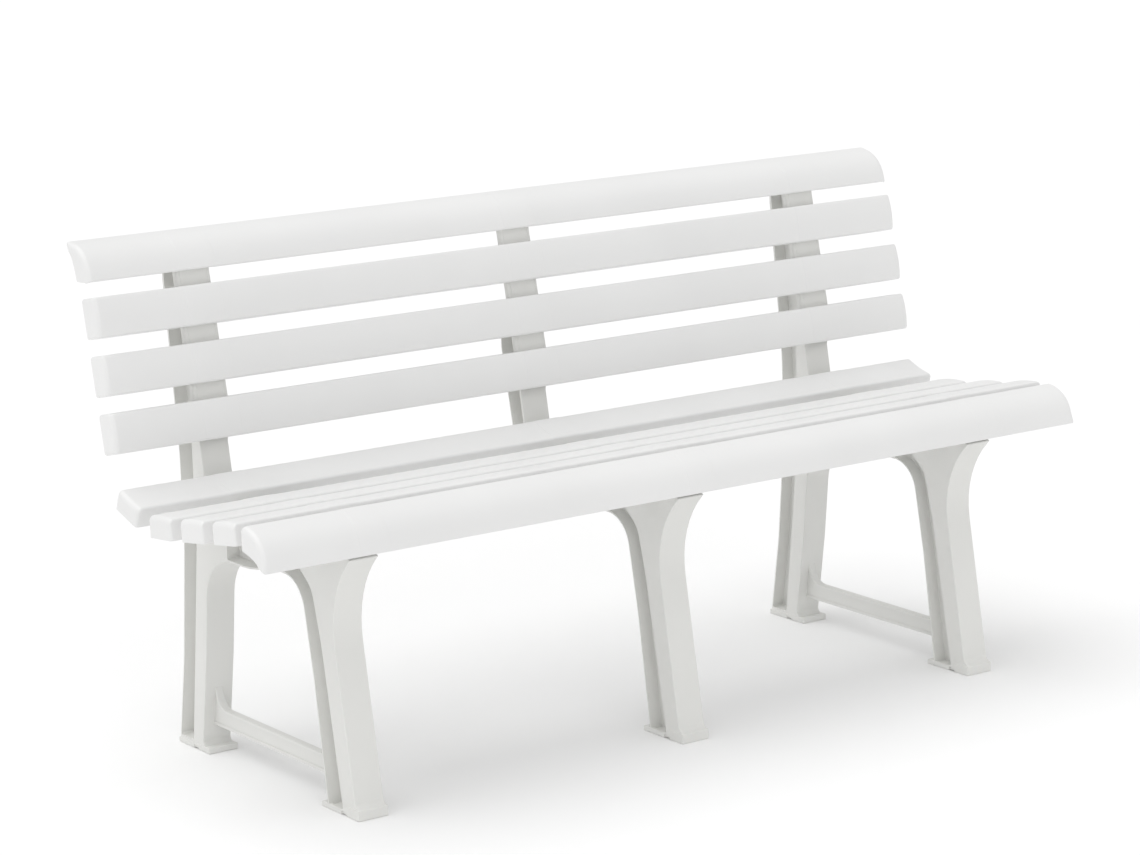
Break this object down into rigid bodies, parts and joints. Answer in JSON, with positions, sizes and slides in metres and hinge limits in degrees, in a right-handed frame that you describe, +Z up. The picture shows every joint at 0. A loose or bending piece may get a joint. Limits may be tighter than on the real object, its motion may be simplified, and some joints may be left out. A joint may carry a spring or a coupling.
{
  "type": "garden bench",
  "caption": "Long garden bench in moulded plastic: slatted seat and leaning slatted back on two legged end frames and a middle support.",
  "frame": {"origin": "on the ground, under the middle of the bench's bounding box", "axes": "+X along the bench's length, the front faces -Y, +Z up"},
  "size_m": [1.45, 0.49, 0.74],
  "materials": {
    "frame_plastic": "white moulded polypropylene, fine satin texture",
    "slat_plastic": "white moulded polypropylene, smooth satin"
  },
  "bodies": {
    "root": {"left_end_frame": "frame_plastic", "middle_support": "frame_plastic", "right_end_frame": "frame_plastic", "seat_slat_front": "slat_plastic", "seat_slat_4": "slat_plastic", "seat_slat_3": "slat_plastic", "seat_slat_2": "slat_plastic", "seat_slat_rear": "slat_plastic", "back_slat_bottom": "slat_plastic", "back_slat_2": "slat_plastic", "back_slat_3": "slat_plastic", "back_slat_top": "slat_plastic"}
  },
  "joints": []
}
